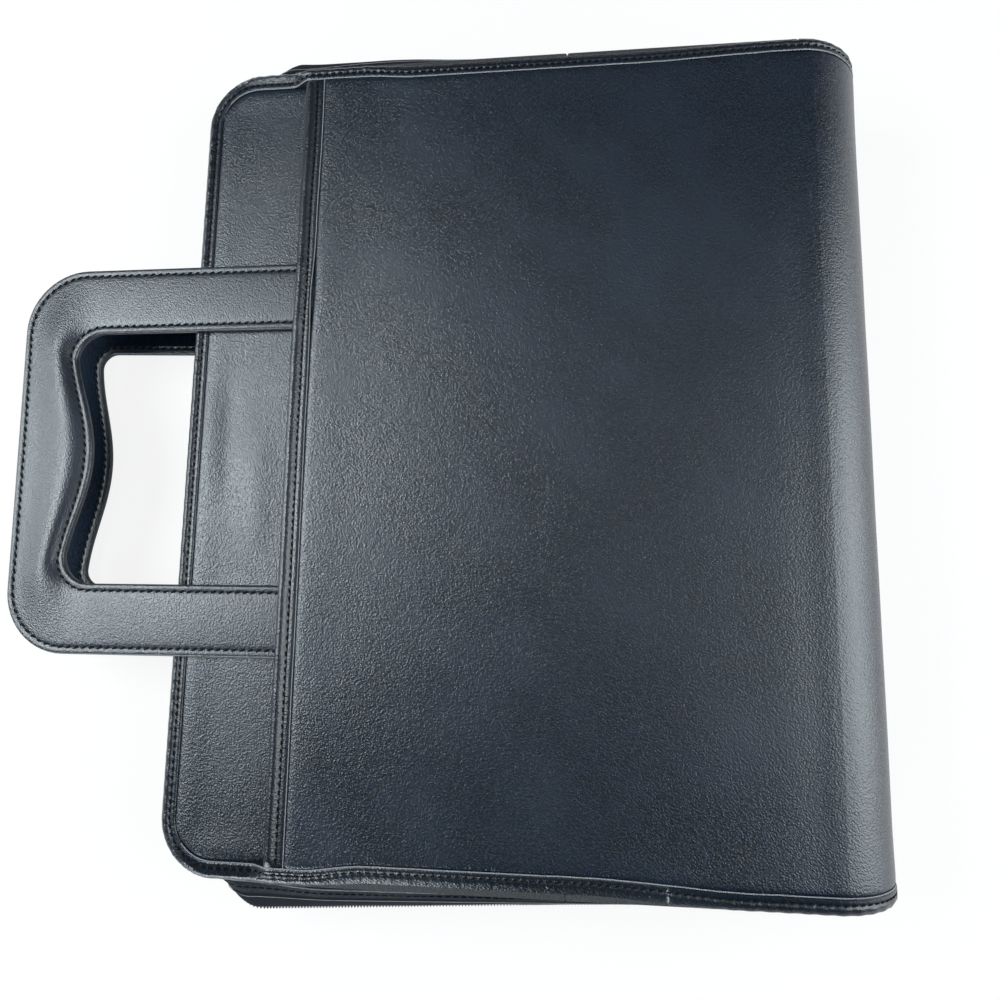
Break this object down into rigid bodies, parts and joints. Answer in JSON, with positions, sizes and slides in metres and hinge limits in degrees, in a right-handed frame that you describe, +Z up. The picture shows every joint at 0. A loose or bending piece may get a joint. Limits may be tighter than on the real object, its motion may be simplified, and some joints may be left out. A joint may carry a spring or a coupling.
{
  "type": "zipper binder",
  "caption": "Zip-round ring binder with padded covers, a rounded spine, an inside ring mechanism and a handle that slides out of a pocket in each cover.",
  "frame": {"origin": "centre of the bounding box's bottom face, on the surface that the closed binder lies on, with both handles pulled out", "axes": "+X from the handles towards the spine, +Y along the spine towards the end where the zip slider is parked, +Z up from the back cover to the front cover"},
  "size_m": [0.3637, 0.3746, 0.0574],
  "materials": {
    "leather": "satin",
    "binding": "satin",
    "lining": "matt woven",
    "fibreboard": "raw",
    "foam": "matt foam sheet",
    "zip_tape": "woven tape",
    "zip_teeth": "moulded nylon",
    "metal": "bright nickel plate"
  },
  "bodies": {
    "back": {"back_main_panel": "leather", "back_pocket_welt": "binding", "back_strip_panel": "leather", "back_board": "fibreboard", "back_lining": "lining", "back_edge_binding": "binding", "back_padding_upper": "foam", "back_padding_lower": "foam", "back_padding_rear": "foam", "back_mouth_guide": "foam", "spine_skin": "leather", "spine_padding": "foam", "spine_board": "fibreboard", "spine_lining": "lining", "spine_binding_upper": "binding", "spine_binding_lower": "binding", "rear_gusset_facing": "binding", "rear_zip_tape": "zip_tape", "rear_zip_teeth": "zip_teeth", "ring_housing": "metal", "ring_rivet_upper": "metal", "ring_rivet_lower": "metal"},
    "front_cover": {"front_main_panel": "leather", "front_pocket_welt": "binding", "front_strip_panel": "leather", "front_board": "fibreboard", "front_lining": "lining", "front_edge_binding": "binding", "front_padding_upper": "foam", "front_padding_lower": "foam", "front_padding_rear": "foam", "front_mouth_guide": "foam", "document_pocket": "leather", "card_pocket": "leather", "pen_loop": "binding", "front_gusset_facing": "binding", "front_zip_tape": "zip_tape", "front_zip_teeth": "zip_teeth"},
    "front_handle": {"front_handle_outer_face": "leather", "front_handle_core": "foam", "front_handle_inner_face": "leather", "front_handle_stop_strip": "lining"},
    "rear_handle": {"rear_handle_outer_face": "leather", "rear_handle_core": "foam", "rear_handle_inner_face": "leather", "rear_handle_stop_strip": "lining"},
    "slider": {"zip_slider": "metal"},
    "pull": {"zip_pull": "metal"},
    "left_rings": {"ring_blade_left": "metal", "half_ring_left_lower": "metal", "half_ring_left_middle": "metal", "half_ring_left_upper": "metal"},
    "right_rings": {"ring_blade_right": "metal", "half_ring_right_lower": "metal", "half_ring_right_middle": "metal", "half_ring_right_upper": "metal"},
    "upper_lever": {"ring_lever_upper": "metal"},
    "lower_lever": {"ring_lever_lower": "metal"}
  },
  "joints": [
    {"name": "cover_hinge", "type": "hinge", "parent": "back", "child": "front_cover", "pos_m": [0.1508, 0, 0.05771], "axis": [0, 1, 0], "range_deg": [0, 180]},
    {"name": "front_handle_slide", "type": "slide", "parent": "front_cover", "child": "front_handle", "axis": [0.9968, 0, 0.0798], "range_m": [0, 0.074]},
    {"name": "rear_handle_slide", "type": "slide", "parent": "back", "child": "rear_handle", "axis": [1, 0, 0], "range_m": [0, 0.074]},
    {"name": "zip_slide", "type": "slide", "parent": "back", "child": "slider", "axis": [-0.9979, 0.0518, -0.0399], "range_m": [0, 0.195]},
    {"name": "pull_swing", "type": "hinge", "parent": "slider", "child": "pull", "pos_m": [0.14016, 0.1807, 0.02822], "axis": [0.0398, -0.0021, -0.9992], "range_deg": [0, 180]},
    {"name": "rings_open", "type": "hinge", "parent": "back", "child": "right_rings", "pos_m": [0.15052, 0, 0.0107], "axis": [0, 1, 0], "range_deg": [0, 18]},
    {"name": "left_rings_open", "type": "hinge", "parent": "back", "child": "left_rings", "pos_m": [0.13312, 0, 0.0107], "axis": [0, -1, 0], "range_deg": [0, 18]},
    {"name": "upper_lever_press", "type": "hinge", "parent": "back", "child": "upper_lever", "pos_m": [0.14182, 0.1325, 0.0109], "axis": [-1, 0, 0], "range_deg": [0, 24]},
    {"name": "lower_lever_press", "type": "hinge", "parent": "back", "child": "lower_lever", "pos_m": [0.14182, -0.1325, 0.0109], "axis": [1, 0, 0], "range_deg": [0, 24]}
  ],
  "couplings": [
    {"joint": "left_rings_open", "follows": "rings_open", "ratio": 1},
    {"joint": "upper_lever_press", "follows": "rings_open", "ratio": 1.3333},
    {"joint": "lower_lever_press", "follows": "rings_open", "ratio": 1.3333}
  ]
}
